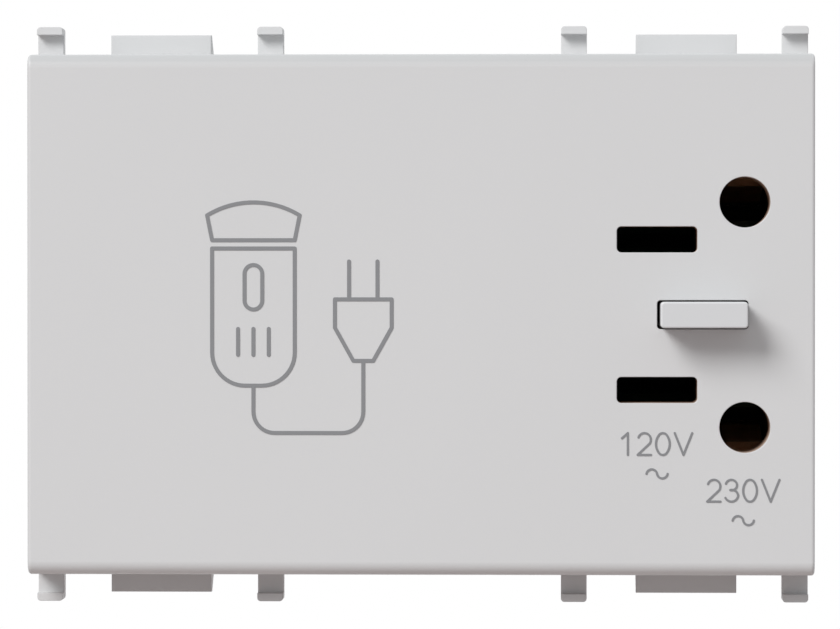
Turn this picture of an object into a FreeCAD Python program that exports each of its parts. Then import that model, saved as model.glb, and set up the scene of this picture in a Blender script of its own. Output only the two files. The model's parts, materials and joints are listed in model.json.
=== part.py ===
import FreeCAD, Part
import Sketcher
import math
import os

# Flush shaver supply socket, three modules wide, with an isolating transformer behind the face.
# +X is right and +Z is up as seen from the front, and the front faces -Y.
# The origin is the middle of the plane in which the cover's rim seats on the mounting frame.

Vector = FreeCAD.Vector
Rotation = FreeCAD.Rotation

# Driving dimensions in millimetres
SIZES = {
    # front cover
    "cover_width": 66.6,
    "cover_height": 44.1,
    "cover_depth": 7.0,
    "face_wall": 2.0,
    "opening_pad": 3.0,
    "skirt_wall": 1.4,
    "long_edge_round": 1.1,
    "side_edge_round": 0.3,
    "hook_width": 2.2,
    "hook_reach": 2.55,
    "hook_arm": 1.2,
    "hook_lip_height": 0.68,
    "hook_lip_rise": 1.0,
    "hook_round": 0.3,
    "outer_hook_inset": 1.4,
    "hook_spacing": 18.9,
    "tongue_inset": 10.6,
    "tongue_width": 8.67,
    "tongue_wall": 1.0,
    "tongue_length": 6.0,
    "barb_reach": 2.05,
    "barb_start": 2.1,
    "barb_land": 0.9,
    # plug openings
    "round_hole_radius": 2.15,
    "round_inset": 5.9,
    "round_pitch": 19.0,
    "slot_width": 6.8,
    "slot_height": 2.2,
    "slot_round": 0.4,
    "flat_inset": 13.3,
    "flat_pitch": 12.7,
    # plunger and its switch
    "plunger_inset": 9.4,
    "plunger_width": 7.3,
    "plunger_height": 2.2,
    "plunger_proud": 3.5,
    "plunger_round": 0.3,
    "plunger_rim_round": 0.15,
    "plunger_side_gap": 0.2,
    "plunger_lean": 0.05,
    "plunger_top_gap": 0.12,
    "flange_lip": 1.4,
    "flange_depth": 1.5,
    "stem_radius": 1.5,
    "tip_radius": 0.9,
    "tip_end": 0.3,
    "running_gap": 0.1,
    "guide_gap": 0.2,
    "spring_room": 6.0,
    "spring_wire": 0.35,
    "spring_turns": 6.0,
    "shelf_wall": 1.5,
    "bridge_gap": 1.0,
    "bridge_width": 9.2,
    "bridge_height": 3.0,
    "bridge_strip": 0.8,
    "clip_radius": 2.0,
    "clip_strip": 0.5,
    "switch_overtravel": 0.1,
    "switch_side_room": 1.0,
    "switch_top_room": 0.7,
    "rivet_radius": 0.9,
    "rivet_depth": 0.5,
    "rivet_place": 3.6,
    "leaf_strip": 0.4,
    "leaf_height": 2.4,
    "leaf_inner_end": 2.6,
    # spring contacts for the pins
    "round_clip_width": 4.0,
    "round_clip_strip": 0.5,
    "round_clip_gap": 3.0,
    "round_clip_mouth": 4.8,
    "round_clip_depth": 14.5,
    "round_clip_taper": 8.0,
    "round_clip_flare": 1.4,
    "flat_clip_width": 6.2,
    "flat_clip_strip": 0.4,
    "flat_clip_gap": 1.2,
    "flat_clip_mouth": 3.0,
    "flat_clip_depth": 12.0,
    "flat_clip_taper": 6.0,
    "flat_clip_flare": 2.4,
    "mouth_set_back": 1.0,
    "pocket_gap": 0.3,
    "tail_width": 1.6,
    "tail_end_gap": 1.5,
    # contact block and terminal block
    "block_width": 16.0,
    "block_post_gap": 0.3,
    "lead_room": 3.8,
    "block_wall_gap": 0.2,
    "leg_width": 2.0,
    "leg_height": 3.0,
    "leg_place": 6.5,
    "terminal_block_width": 13.8,
    "terminal_block_height": 16.8,
    "terminal_block_depth": 14.7,
    "terminal_pitch": 8.4,
    "terminal_inset": 3.7,
    "bar_width": 4.4,
    "bar_strip": 1.0,
    "bar_from_rear": 8.4,
    "bar_tail": 2.0,
    "bar_end_wall": 0.6,
    "cage_length": 5.0,
    "cage_wall": 0.8,
    "cage_front_wall": 0.9,
    "cage_rear_wall": 1.5,
    "cage_opening": 6.2,
    "wire_opening": 2.9,
    "clamp_screw_radius": 1.5,
    "clamp_head_radius": 1.9,
    "clamp_head_depth": 1.5,
    "clamp_screw_gap": 0.05,
    "driver_slot": 0.6,
    "driver_slot_depth": 0.7,
    "driver_hole_radius": 1.75,
    "wire_hole_radius": 1.4,
    "wire_entry_radius": 1.9,
    # rear housing and its screws
    "housing_gap": 0.2,
    "housing_wall": 1.3,
    "rear_wall": 1.5,
    "housing_rear": 36.0,
    "housing_round": 1.0,
    "flex_room": 1.4,
    "flex_side_gap": 0.6,
    "flex_wall": 1.0,
    "screw_inset_x": 5.5,
    "screw_inset_z": 5.6,
    "boss_radius": 2.2,
    "boss_height": 4.5,
    "post_radius": 2.9,
    "tunnel_radius": 2.1,
    "screw_radius": 1.1,
    "screw_gap": 0.02,
    "screw_length": 6.2,
    "screw_head_radius": 1.9,
    "screw_head_depth": 1.4,
    "screw_seat_wall": 2.5,
    "pilot_depth": 4.1,
    # transformer
    "core_wall_gap": 0.8,
    "core_front_room": 4.0,
    "core_pad": 0.5,
    "core_press_gap": 0.2,
    "press_rib": 1.2,
    "bobbin_gap": 0.2,
    "bobbin_wall": 0.8,
    "bobbin_end_gap": 0.3,
    "flange_wall": 0.9,
    "window_gap": 1.0,
    "tape_strip": 0.2,
    "flange_proud": 0.3,
    "cutout_width": 7.6,
    "cutout_length": 6.0,
    "cutout_height": 1.4,
    "cutout_gap": 0.5,
    "barrier_gap": 0.5,
    "barrier_block_gap": 0.5,
    "barrier_strip": 0.8,
    "barrier_window": 3.0,
    # internal leads
    "lead_radius": 0.5,
    "lead_block_gap": 0.4,
    "lead_side_gap": 1.5,
    # print on the face
    "ink_depth": 0.04,
    "line_width": 0.33,
    "label_line_width": 0.19,
    "label_height": 1.84,
    "label_spacing": 0.42,
    "flat_label_drop": 11.82,
    "round_label_shift": 0.14,
    "round_label_drop": 15.75,
    "wave_width": 1.78,
    "wave_height": 0.76,
    "wave_drop": 1.6,
    "shaver_place": -14.1,
    "shaver_drop": 6.0,
    "shaver_width": 7.0,
    "shaver_length": 11.6,
    "shaver_head_gap": 0.7,
    "shaver_head_height": 3.2,
    "plug_place": -4.8,
    "plug_width": 4.8,
    "plug_length": 5.2,
    "plug_pin_length": 3.2,
    "cord_drop": 4.0,
    "cord_bend": 1.8,
}

doc = FreeCAD.newDocument("shaver_socket")
sheet = doc.addObject("Spreadsheet::Sheet", "Sizes")
for row, (alias, number) in enumerate(SIZES.items(), 1):
    sheet.set(f"A{row}", alias.replace("_", " "))
    sheet.set(f"B{row}", str(number))
    sheet.setAlias(f"B{row}", alias)
doc.recompute()


class Size:
    """A length as its number and as the expression on the sheet that gives it."""

    def __init__(self, text, number):
        self.text = text
        self.number = number

    def __float__(self):
        return float(self.number)

    def __add__(self, other):
        return Size(f"({text_of(self)} + {text_of(other)})", float(self) + float(other))

    def __radd__(self, other):
        return Size(f"({text_of(other)} + {text_of(self)})", float(other) + float(self))

    def __sub__(self, other):
        return Size(f"({text_of(self)} - {text_of(other)})", float(self) - float(other))

    def __rsub__(self, other):
        return Size(f"({text_of(other)} - {text_of(self)})", float(other) - float(self))

    def __mul__(self, other):
        return Size(f"({text_of(self)} * {text_of(other)})", float(self) * float(other))

    __rmul__ = __mul__

    def __truediv__(self, other):
        return Size(f"({text_of(self)} / {text_of(other)})", float(self) / float(other))

    def __neg__(self):
        return Size(f"(0 - {text_of(self)})", -float(self))


def text_of(value):
    return value.text if isinstance(value, Size) else repr(float(value))


class Sheet:
    """Gives each size of the sheet by its name."""

    def __getattr__(self, name):
        return Size(f"Sizes.{name}", getattr(sheet, name))


size = Sheet()

# Planes that several pieces share
HALF_WIDTH = size.cover_width / 2
HALF_HEIGHT = size.cover_height / 2
FACE = -size.cover_depth
PLATE_BACK = FACE + size.face_wall
BLOCK_FRONT = PLATE_BACK + size.opening_pad
INNER_X = HALF_WIDTH - size.skirt_wall
INNER_Z = HALF_HEIGHT - size.skirt_wall
HOUSING_X = INNER_X - size.housing_gap
HOUSING_Z = INNER_Z - size.housing_gap
ROOM_X = HOUSING_X - size.housing_wall
ROOM_Z = HOUSING_Z - size.housing_wall
ROOM_REAR = size.housing_rear - size.rear_wall
SCREW_X = HALF_WIDTH - size.screw_inset_x
SCREW_Z = HALF_HEIGHT - size.screw_inset_z
BOSS_END = PLATE_BACK + size.boss_height
OUTER_HOOK = HALF_WIDTH - size.outer_hook_inset
INNER_HOOK = OUTER_HOOK - size.hook_spacing
TONGUE_X = HALF_WIDTH - size.tongue_inset
ROUND_X = HALF_WIDTH - size.round_inset
ROUND_Z = size.round_pitch / 2
FLAT_X = HALF_WIDTH - size.flat_inset
FLAT_Z = size.flat_pitch / 2
PLUNGER_X = HALF_WIDTH - size.plunger_inset

# Plunger and switch along the travel
FLANGE_FRONT = BLOCK_FRONT + size.running_gap
FLANGE_REAR = FLANGE_FRONT + size.flange_depth
SHELF_FRONT = FLANGE_REAR + size.spring_room
SHELF_REAR = SHELF_FRONT + size.shelf_wall
BRIDGE_FRONT = SHELF_REAR + size.bridge_gap
BRIDGE_REAR = BRIDGE_FRONT + size.bridge_strip
CLIP_REAR = BRIDGE_REAR + size.clip_strip
RIVET_FRONT = BRIDGE_REAR + size.plunger_proud + size.switch_overtravel
LEAF_FRONT = RIVET_FRONT + size.rivet_depth
LEAF_REAR = LEAF_FRONT + size.leaf_strip
FLANGE_X = size.plunger_width / 2 + size.flange_lip
FLANGE_Z = size.plunger_height / 2 + size.flange_lip
SWITCH_X = size.bridge_width / 2 + size.switch_side_room
SWITCH_Z = size.bridge_height / 2 + size.switch_top_room

# Blocks against the right wall
BLOCK_RIGHT = ROOM_X - size.block_wall_gap
BLOCK_LEFT = BLOCK_RIGHT - size.block_width
BLOCK_Z = SCREW_Z - size.post_radius - size.block_post_gap
TERMINAL_LEFT = BLOCK_RIGHT - size.terminal_block_width
TERMINAL_FRONT = ROOM_REAR - size.terminal_block_depth
BLOCK_REAR = TERMINAL_FRONT - size.lead_room
TERMINAL_X = BLOCK_RIGHT - size.terminal_inset
TERMINAL_Z = size.terminal_pitch / 2
TAIL_END = TERMINAL_FRONT - size.tail_end_gap
BAR_REAR = ROOM_REAR - size.bar_from_rear
BAR_FRONT = BAR_REAR - size.bar_strip
CAGE_FLOOR = BAR_FRONT - size.wire_opening
CAGE_ROOF = CAGE_FLOOR + size.cage_opening
WIRE_Y = (CAGE_FLOOR + BAR_FRONT) / 2
CLAMP_HEAD_REAR = ROOM_REAR - size.running_gap
CLAMP_HEAD_FRONT = CLAMP_HEAD_REAR - size.clamp_head_depth

# Transformer between the left wall and the barrier, and between the front ribs and the rear pads
BARRIER_LEFT = BLOCK_LEFT - size.barrier_block_gap - size.barrier_strip
CORE_LEFT = size.core_wall_gap - ROOM_X
CORE_RIGHT = BARRIER_LEFT - size.barrier_gap
CORE_X = (CORE_LEFT + CORE_RIGHT) / 2
CORE_REAR = ROOM_REAR - size.core_pad
CORE_FRONT = PLATE_BACK + size.core_front_room
LEG = (CORE_RIGHT - CORE_LEFT) / 6
YOKE = (CORE_REAR - CORE_FRONT) / 5
JOINT_Y = CORE_FRONT + YOKE
YOKE_Y = CORE_REAR - YOKE
COIL_BUILD = LEG - size.bobbin_gap - size.bobbin_wall - size.window_gap
TAPE_Z = ROOM_Z - size.cutout_gap - size.cutout_height
COIL_Z = TAPE_Z - size.tape_strip
TUBE_Z = COIL_Z - COIL_BUILD
TUBE_IN_Z = TUBE_Z - size.bobbin_wall
CORE_Z = TUBE_IN_Z - size.bobbin_gap
TUBE_IN_X = LEG + size.bobbin_gap
TUBE_X = TUBE_IN_X + size.bobbin_wall
COIL_X = TUBE_X + COIL_BUILD
TAPE_X = COIL_X + size.tape_strip
BOBBIN_FRONT = JOINT_Y + size.bobbin_end_gap
BOBBIN_REAR = YOKE_Y - size.bobbin_end_gap
BOBBIN_MIDDLE = (BOBBIN_FRONT + BOBBIN_REAR) / 2


def bind(piece, field, value):
    """Tie one field of an object to the sheet."""
    piece.setExpression(field, text_of(value))


def about(centre, half):
    """The two planes that lie the same distance either side of a centre."""
    return centre - half, centre + half


def place_box(piece, x, y, z):
    """Give a block its two planes on each axis."""
    for field, axis, (low, high) in (("Length", "x", x), ("Width", "y", y), ("Height", "z", z)):
        bind(piece, field, high - low)
        bind(piece, f"Placement.Base.{axis}", low)
    return piece


# Turns a bar that stands along Z so that it lies along another axis
TURN = {
    "X": Rotation(Vector(0, 1, 0), 90),
    "Y": Rotation(Vector(1, 0, 0), -90),
    "Z": Rotation(),
}


def place_rod(piece, axis, x, y, z, radius):
    """Give a round bar its radius and place; the coordinate along its axis is a pair."""
    spots = {"x": x, "y": y, "z": z}
    low, high = spots[axis.lower()]
    spots[axis.lower()] = low
    bind(piece, "Radius", radius)
    bind(piece, "Height", high - low)
    piece.Placement = FreeCAD.Placement(Vector(), TURN[axis])
    for name, value in spots.items():
        bind(piece, f"Placement.Base.{name}", value)
    return piece


def new_body(label):
    return doc.addObject("PartDesign::Body", label)


def add_box(body, name, x, y, z):
    return place_box(body.newObject("PartDesign::AdditiveBox", name), x, y, z)


def cut_box(body, name, x, y, z):
    return place_box(body.newObject("PartDesign::SubtractiveBox", name), x, y, z)


def add_rod(body, name, axis, x, y, z, radius):
    return place_rod(body.newObject("PartDesign::AdditiveCylinder", name), axis, x, y, z, radius)


def cut_rod(body, name, axis, x, y, z, radius):
    return place_rod(body.newObject("PartDesign::SubtractiveCylinder", name), axis, x, y, z, radius)


def origin_plane(body, role):
    return next(item for item in body.Origin.OriginFeatures if item.Role == role)


def draw_outline(sketch, corners):
    """Add one closed straight-sided outline whose corners are tied to the sheet."""
    spots = [Vector(float(u), float(v), 0) for u, v in corners]
    sides = []
    for number, spot in enumerate(spots):
        following = spots[(number + 1) % len(spots)]
        sides.append(sketch.addGeometry(Part.LineSegment(spot, following), False))
    for number, side in enumerate(sides):
        following = sides[(number + 1) % len(sides)]
        sketch.addConstraint(Sketcher.Constraint("Coincident", side, 2, following, 1))
    for side, (u, v) in zip(sides, corners):
        for kind, value in (("DistanceX", u), ("DistanceY", v)):
            number = sketch.addConstraint(Sketcher.Constraint(kind, -1, 1, side, 1, float(value)))
            sketch.setExpression(f"Constraints[{number}]", text_of(value))


def add_prism(body, name, axis, outlines, low, high):
    """Pad straight-sided outlines between two planes square to an axis.

    Outlines square to X hold (y, z) pairs, square to Y (x, z) pairs and square to Z (x, y) pairs.
    """
    sketch = body.newObject("Sketcher::SketchObject", f"{name}_outline")
    roles = {"X": "YZ_Plane", "Y": "XZ_Plane", "Z": "XY_Plane"}
    sketch.AttachmentSupport = (origin_plane(body, roles[axis]), "")
    sketch.MapMode = "FlatFace"
    # The plane square to Y has its normal along -Y
    backwards = axis == "Y"
    bind(sketch, "AttachmentOffset.Base.z", -low if backwards else low)
    for corners in outlines:
        draw_outline(sketch, corners)
    pad = body.newObject("PartDesign::Pad", name)
    pad.Profile = sketch
    pad.Reversed = backwards
    bind(pad, "Length", high - low)
    return pad


def round_edges(body, name, radius, wanted):
    """Round the edges of the body so far that the test picks out."""
    doc.recompute()
    base = body.Tip
    edges = [f"Edge{number}" for number, edge in enumerate(base.Shape.Edges, 1) if wanted(edge)]
    fillet = body.newObject("PartDesign::Fillet", name)
    fillet.Base = (base, edges)
    bind(fillet, "Radius", radius)
    return fillet


CLOSE = 0.001


def on_plane(edge, axis, value):
    """Whether the whole edge lies in the plane square to an axis."""
    box = edge.BoundBox
    low = getattr(box, f"{axis}Min")
    high = getattr(box, f"{axis}Max")
    return abs(low - float(value)) < CLOSE and abs(high - float(value)) < CLOSE


def runs_along(edge, axis):
    """Whether the edge is a straight one along an axis."""
    box = edge.BoundBox
    others = [name for name in "XYZ" if name != axis]
    return all(getattr(box, f"{name}Length") < CLOSE for name in others)


def mirrored(corners):
    """The outline with its second coordinate turned over."""
    return [(u, -v) for u, v in corners]


def front_cover():
    """One moulding: plate, skirt, frame hooks, snap tongues, screw bosses and a pad that guides the pins."""
    body = new_body("front_cover")
    across = about(0, HALF_WIDTH)
    upright = about(0, HALF_HEIGHT)
    add_box(body, "cover_block", across, (FACE, 0), upright)
    round_edges(body, "long_edges", size.long_edge_round,
                lambda edge: runs_along(edge, "X") and on_plane(edge, "Y", FACE))
    round_edges(body, "side_edges", size.side_edge_round,
                lambda edge: (on_plane(edge, "X", HALF_WIDTH) or on_plane(edge, "X", -HALF_WIDTH))
                and not on_plane(edge, "Y", 0))
    cut_box(body, "cover_hollow", about(0, INNER_X), (PLATE_BACK, 0), about(0, INNER_Z))

    inside = HALF_HEIGHT - size.skirt_wall / 2
    tip = HALF_HEIGHT + size.hook_reach
    hook = [
        (-size.hook_arm, inside),
        (0, inside),
        (0, tip),
        (-size.hook_arm - size.hook_lip_rise, tip),
        (-size.hook_arm - size.hook_lip_rise, tip - size.hook_lip_height),
        (-size.hook_arm, tip - size.hook_lip_height),
    ]
    for number, x in enumerate((-OUTER_HOOK, -INNER_HOOK, INNER_HOOK, OUTER_HOOK)):
        low, high = about(x, size.hook_width / 2)
        add_prism(body, f"hook_{number}", "X", [hook, mirrored(hook)], low, high)
    round_edges(body, "hook_tips", size.hook_round,
                lambda edge: runs_along(edge, "Y")
                and (on_plane(edge, "Z", tip) or on_plane(edge, "Z", -tip)))

    tongue_outside = INNER_Z + size.tongue_wall
    barb_tip = HALF_HEIGHT + size.barb_reach
    tongue = [
        (-size.tongue_wall, INNER_Z),
        (size.tongue_length, INNER_Z),
        (size.tongue_length, tongue_outside),
        (size.barb_start + size.barb_land, barb_tip),
        (size.barb_start, barb_tip),
        (size.barb_start, tongue_outside),
        (-size.tongue_wall, tongue_outside),
    ]
    for number, x in enumerate((-TONGUE_X, TONGUE_X)):
        low, high = about(x, size.tongue_width / 2)
        add_prism(body, f"tongue_{number}", "X", [tongue, mirrored(tongue)], low, high)

    add_box(body, "opening_pad", (BLOCK_LEFT, BLOCK_RIGHT), (PLATE_BACK, BLOCK_FRONT), about(0, BLOCK_Z))
    through = (FACE, BLOCK_FRONT)
    half_slot = size.slot_width / 2
    slot_sides = (FLAT_X - half_slot, FLAT_X + half_slot)
    for number, sign in enumerate((1, -1)):
        cut_rod(body, f"round_opening_{number}", "Y",
                ROUND_X, through, sign * ROUND_Z, size.round_hole_radius)
        cut_box(body, f"flat_opening_{number}",
                slot_sides, through, about(sign * FLAT_Z, size.slot_height / 2))
    plunger_sides = about(PLUNGER_X - size.plunger_lean, size.plunger_width / 2 + size.plunger_side_gap)
    cut_box(body, "plunger_opening",
            plunger_sides, through, about(0, size.plunger_height / 2 + size.plunger_top_gap))
    for name, radius, sides, reach in (
            ("slot_corners", size.slot_round, slot_sides, FLAT_Z + size.slot_height),
            ("plunger_corners", size.plunger_round, plunger_sides, size.plunger_height)):
        round_edges(body, name, radius,
                    lambda edge: runs_along(edge, "Y")
                    and any(on_plane(edge, "X", side) for side in sides)
                    and abs(edge.BoundBox.ZMin) < float(reach))

    pilot = size.screw_radius + size.screw_gap
    for column, x in enumerate((-SCREW_X, SCREW_X)):
        for level, z in enumerate((-SCREW_Z, SCREW_Z)):
            add_rod(body, f"boss_{column}_{level}", "Y", x, (PLATE_BACK, BOSS_END), z, size.boss_radius)
            cut_rod(body, f"pilot_{column}_{level}", "Y",
                    x, (BOSS_END - size.pilot_depth, BOSS_END), z, pilot)
    for number, sign in enumerate((-1, 1)):
        add_box(body, f"press_rib_{number}",
                about(CORE_X + sign * 2 * LEG, size.press_rib / 2),
                (PLATE_BACK, CORE_FRONT - size.core_press_gap),
                about(0, CORE_Z))
    return body


def rear_housing():
    """Deep box behind the cover, with screw posts in its corners."""
    body = new_body("rear_housing")
    add_box(body, "housing_block", about(0, HOUSING_X), (PLATE_BACK, size.housing_rear), about(0, HOUSING_Z))
    round_edges(body, "housing_edges", size.housing_round,
                lambda edge: runs_along(edge, "Y") or on_plane(edge, "Y", size.housing_rear))
    cut_box(body, "housing_room", about(0, ROOM_X), (PLATE_BACK, ROOM_REAR), about(0, ROOM_Z))

    flex_x = size.tongue_width / 2 + size.flex_side_gap
    flex_z = HOUSING_Z - size.flex_room
    flex_end = size.tongue_length + size.flex_side_gap
    for column, x in enumerate((-TONGUE_X, TONGUE_X)):
        for level, sign in enumerate((-1, 1)):
            wall_ends = (sign * (flex_z - size.flex_wall), sign * (HOUSING_Z - size.housing_wall / 2))
            walls = sorted(wall_ends, key=float)
            recess = sorted((sign * flex_z, sign * HOUSING_Z), key=float)
            add_box(body, f"flex_wall_{column}_{level}",
                    about(x, flex_x + size.flex_wall),
                    (BOSS_END, flex_end + size.flex_wall), walls)
            cut_box(body, f"flex_room_{column}_{level}", about(x, flex_x), (0, flex_end), recess)

    seat = BOSS_END + size.screw_seat_wall
    for column, x in enumerate((-SCREW_X, SCREW_X)):
        for level, z in enumerate((-SCREW_Z, SCREW_Z)):
            add_rod(body, f"post_{column}_{level}", "Y",
                    x, (BOSS_END, size.housing_rear), z, size.post_radius)
            cut_rod(body, f"tunnel_{column}_{level}", "Y",
                    x, (seat, size.housing_rear), z, size.tunnel_radius)
            cut_rod(body, f"screw_way_{column}_{level}", "Y",
                    x, (BOSS_END, seat), z, size.screw_radius + size.running_gap)

    for level, sign in enumerate((-1, 1)):
        cut_rod(body, f"driver_hole_{level}", "Y",
                TERMINAL_X, (ROOM_REAR, size.housing_rear), sign * TERMINAL_Z, size.driver_hole_radius)
        cut_rod(body, f"wire_entry_{level}", "X",
                (ROOM_X, HOUSING_X), WIRE_Y, sign * TERMINAL_Z, size.wire_entry_radius)
    for column, sign in enumerate((-1, 1)):
        add_box(body, f"core_pad_{column}",
                about(CORE_X + sign * 2.5 * LEG, LEG / 2),
                (CORE_REAR, ROOM_REAR), about(0, CORE_Z))
    return body


def housing_screws():
    """Four self-tapping screws in the corner tunnels, heads to the rear."""
    seat = BOSS_END + size.screw_seat_wall
    screws = []
    for column, x in enumerate((-SCREW_X, SCREW_X)):
        for level, z in enumerate((-SCREW_Z, SCREW_Z)):
            shank = place_rod(doc.addObject("Part::Cylinder", f"screw_shank_{column}_{level}"), "Y",
                              x, (seat - size.screw_length, seat), z, size.screw_radius)
            head = place_rod(doc.addObject("Part::Cylinder", f"screw_head_{column}_{level}"), "Y",
                             x, (seat, seat + size.screw_head_depth), z, size.screw_head_radius)
            slot_way = (seat + size.screw_head_depth - size.driver_slot_depth, seat + size.screw_head_depth)
            slots = [
                place_box(doc.addObject("Part::Box", f"screw_slot_{column}_{level}_{turn}"),
                          about(x, half_x), slot_way, about(z, half_z))
                for turn, (half_x, half_z) in enumerate((
                    (size.driver_slot / 2, size.screw_head_radius * 0.65),
                    (size.screw_head_radius * 0.65, size.driver_slot / 2),
                ))
            ]
            solid = fuse(f"screw_blank_{column}_{level}", [shank, head])
            screws.append(cut(f"screw_{column}_{level}", solid, slots))
    group = doc.addObject("Part::Compound", "housing_screws")
    group.Links = screws
    return group


def fuse(label, pieces):
    joined = doc.addObject("Part::MultiFuse", label)
    joined.Shapes = pieces
    return joined


def cut(label, base, tools):
    """The base without the tools."""
    result = doc.addObject("Part::Cut", label)
    result.Base = base
    result.Tool = tools[0] if len(tools) == 1 else fuse(f"{label}_tools", tools)
    return result


# Ends of the spring contacts: the mouth that all share and the bend at the rear of each kind
CLIP_MOUTH = BLOCK_FRONT + size.mouth_set_back
ROUND_REAR = BLOCK_FRONT + size.round_clip_depth
FLAT_REAR = BLOCK_FRONT + size.flat_clip_depth


def contact_block():
    """Insulating block with a pocket for each spring contact and a way for the plunger."""
    body = new_body("contact_block")
    add_box(body, "contact_block_blank",
            (BLOCK_LEFT, BLOCK_RIGHT), (BLOCK_FRONT, BLOCK_REAR), about(0, BLOCK_Z))
    clips = (
        ("round", ROUND_X, ROUND_Z, ROUND_REAR,
         size.round_clip_width / 2, size.round_clip_mouth / 2 + size.round_clip_strip),
        ("flat", FLAT_X, FLAT_Z, FLAT_REAR,
         size.flat_clip_width / 2, size.flat_clip_mouth / 2 + size.flat_clip_strip),
    )
    for name, x, pin_z, rear, half_x, half_z in clips:
        for level, sign in enumerate((-1, 1)):
            z = sign * pin_z
            cut_box(body, f"{name}_pocket_{level}",
                    about(x, half_x + size.pocket_gap), (BLOCK_FRONT, rear),
                    about(z, half_z + size.pocket_gap))
            cut_box(body, f"{name}_tail_way_{level}",
                    about(x, size.tail_width / 2 + size.running_gap), (rear, BLOCK_REAR),
                    about(z, size.round_clip_strip / 2 + size.running_gap))
    x = PLUNGER_X
    cut_box(body, "plunger_room",
            about(x, FLANGE_X + size.guide_gap), (BLOCK_FRONT, SHELF_FRONT),
            about(0, FLANGE_Z + size.guide_gap))
    cut_rod(body, "stem_way", "Y", x, (SHELF_FRONT, SHELF_REAR), 0, size.stem_radius + size.running_gap)
    cut_box(body, "switch_room", about(x, SWITCH_X), (SHELF_REAR, BLOCK_REAR), about(0, SWITCH_Z))
    for column, sides in enumerate((
            (TERMINAL_LEFT, TERMINAL_LEFT + size.leg_width),
            (BLOCK_RIGHT - size.leg_width, BLOCK_RIGHT))):
        for level, sign in enumerate((-1, 1)):
            add_box(body, f"leg_{column}_{level}", sides,
                    (BLOCK_REAR, TERMINAL_FRONT), about(sign * size.leg_place, size.leg_height / 2))
    return body


def spring_contact(label, x, z, width, strip, gap, mouth, flare, taper, rear):
    """Two spring leaves that grip a pin, flared at the mouth and brought together at a solder tail."""
    body = new_body(label)
    throat = CLIP_MOUTH + flare
    closing = rear - taper
    half_gap = gap / 2
    half_mouth = mouth / 2
    inner = [
        (CLIP_MOUTH, half_mouth),
        (throat, half_gap),
        (closing, half_gap),
    ]
    outer = [(y, half + strip) for y, half in inner] + [(rear, strip)]
    outline = [(y, z + half) for y, half in outer]
    outline += [(y, z - half) for y, half in reversed(outer)]
    outline += [(y, z - half) for y, half in inner]
    outline.append((rear - strip, z))
    outline += [(y, z + half) for y, half in reversed(inner)]
    low, high = about(x, width / 2)
    add_prism(body, f"{label}_strip", "X", [outline], low, high)
    add_box(body, f"{label}_tail",
            about(x, size.tail_width / 2), (rear - strip, TAIL_END), about(z, strip / 2))
    return body


def plunger():
    """Rectangular push block with a flange behind the plate and a round stem."""
    body = new_body("plunger")
    x = PLUNGER_X
    front = FACE - size.plunger_proud
    add_box(body, "push_block", about(x, size.plunger_width / 2), (front, FLANGE_FRONT),
            about(0, size.plunger_height / 2))
    round_edges(body, "push_block_corners", size.plunger_round, lambda edge: runs_along(edge, "Y"))
    round_edges(body, "push_block_rim", size.plunger_rim_round, lambda edge: on_plane(edge, "Y", front))
    add_box(body, "stop_flange", about(x, FLANGE_X), (FLANGE_FRONT, FLANGE_REAR), about(0, FLANGE_Z))
    add_rod(body, "stem", "Y", x, (FLANGE_REAR, BRIDGE_FRONT), 0, size.stem_radius)
    add_rod(body, "stem_tip", "Y", x, (BRIDGE_FRONT, CLIP_REAR + size.tip_end), 0, size.tip_radius)
    return body


SECTION_SIDES = 8


def plunger_spring():
    """Wire wound between the plunger's flange and the shelf, its round section drawn with eight sides."""
    wire = float(size.spring_wire)
    coil_radius = float(size.stem_radius + size.guide_gap) + wire / 2
    height = float(size.spring_room) - wire
    helix = Part.makeHelix(height / float(size.spring_turns), height, coil_radius)
    turns = [2 * math.pi * number / SECTION_SIDES for number in range(SECTION_SIDES + 1)]
    section = Part.makePolygon([
        Vector(coil_radius + wire / 2 * math.cos(turn), 0, wire / 2 * math.sin(turn)) for turn in turns
    ])
    coil = Part.Wire(helix.Edges).makePipeShell([section], True, True)
    spring = doc.addObject("Part::Feature", "plunger_spring")
    spring.Shape = coil
    start = Vector(float(PLUNGER_X), float(FLANGE_REAR) + wire / 2, 0)
    spring.Placement = FreeCAD.Placement(start, TURN["Y"])
    return spring


def contact_bridge():
    """Copper strip on the plunger's tip that joins the two switch contacts."""
    body = new_body("contact_bridge")
    x = PLUNGER_X
    across = (BRIDGE_FRONT, BRIDGE_REAR)
    add_box(body, "bridge_strip", about(x, size.bridge_width / 2), across, about(0, size.bridge_height / 2))
    cut_rod(body, "bridge_hole", "Y", x, across, 0, size.tip_radius + size.screw_gap)
    return body


def bridge_clip():
    """Washer snapped over the plunger's tip behind the bridge."""
    body = new_body("bridge_clip")
    x = PLUNGER_X
    across = (BRIDGE_REAR, CLIP_REAR)
    add_rod(body, "clip_disc", "Y", x, across, 0, size.clip_radius)
    cut_rod(body, "clip_hole", "Y", x, across, 0, size.tip_radius + size.screw_gap)
    return body


def switch_contact(label, side):
    """L of copper strip with a contact rivet, along the wall of the switch room."""
    body = new_body(label)
    x = PLUNGER_X
    outline = [
        (x + side * size.leaf_inner_end, LEAF_FRONT),
        (x + side * SWITCH_X, LEAF_FRONT),
        (x + side * SWITCH_X, TAIL_END),
        (x + side * (SWITCH_X - size.leaf_strip), TAIL_END),
        (x + side * (SWITCH_X - size.leaf_strip), LEAF_REAR),
        (x + side * size.leaf_inner_end, LEAF_REAR),
    ]
    low, high = about(0, size.leaf_height / 2)
    add_prism(body, f"{label}_leaf", "Z", [outline], low, high)
    add_rod(body, f"{label}_rivet", "Y", x + side * size.rivet_place,
            (RIVET_FRONT, LEAF_FRONT), 0, size.rivet_radius)
    return body


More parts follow.
